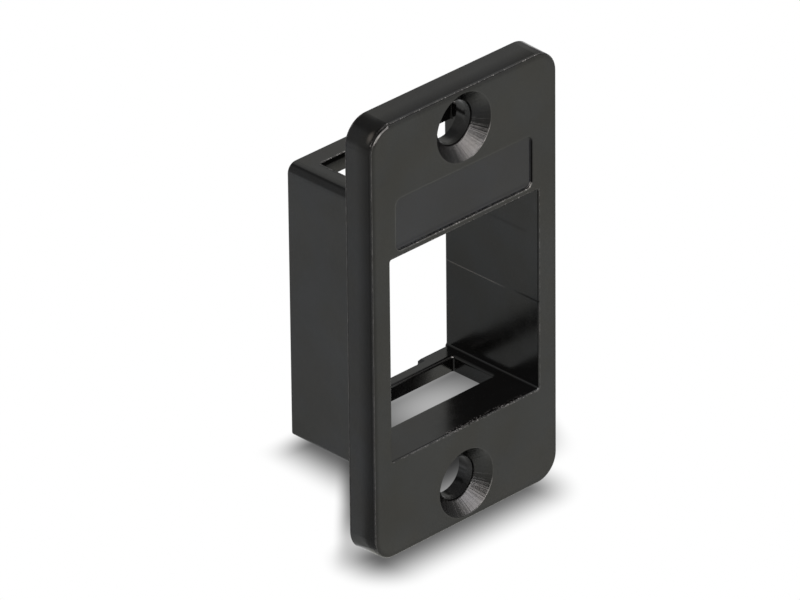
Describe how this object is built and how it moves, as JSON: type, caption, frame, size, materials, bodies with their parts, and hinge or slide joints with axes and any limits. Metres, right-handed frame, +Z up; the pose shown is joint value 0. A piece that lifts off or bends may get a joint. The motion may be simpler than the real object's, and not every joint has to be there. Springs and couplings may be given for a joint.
{
  "type": "keystone holder",
  "caption": "Screw-on plate with a snap-in port for a keystone jack, walled behind by a short collar with latch windows, moulded in black plastic.",
  "frame": {"origin": "on the seating face, the back of the plate, midway between the two screw holes", "axes": "+X to the right seen from the front, +Y from the front to the rear, +Z up, along the plate's long side"},
  "size_m": [0.0188, 0.0096, 0.0352],
  "materials": {
    "black_plastic": "satin, fine moulded surface"
  },
  "bodies": {
    "root": {"keystone_holder": "black_plastic"}
  },
  "joints": []
}
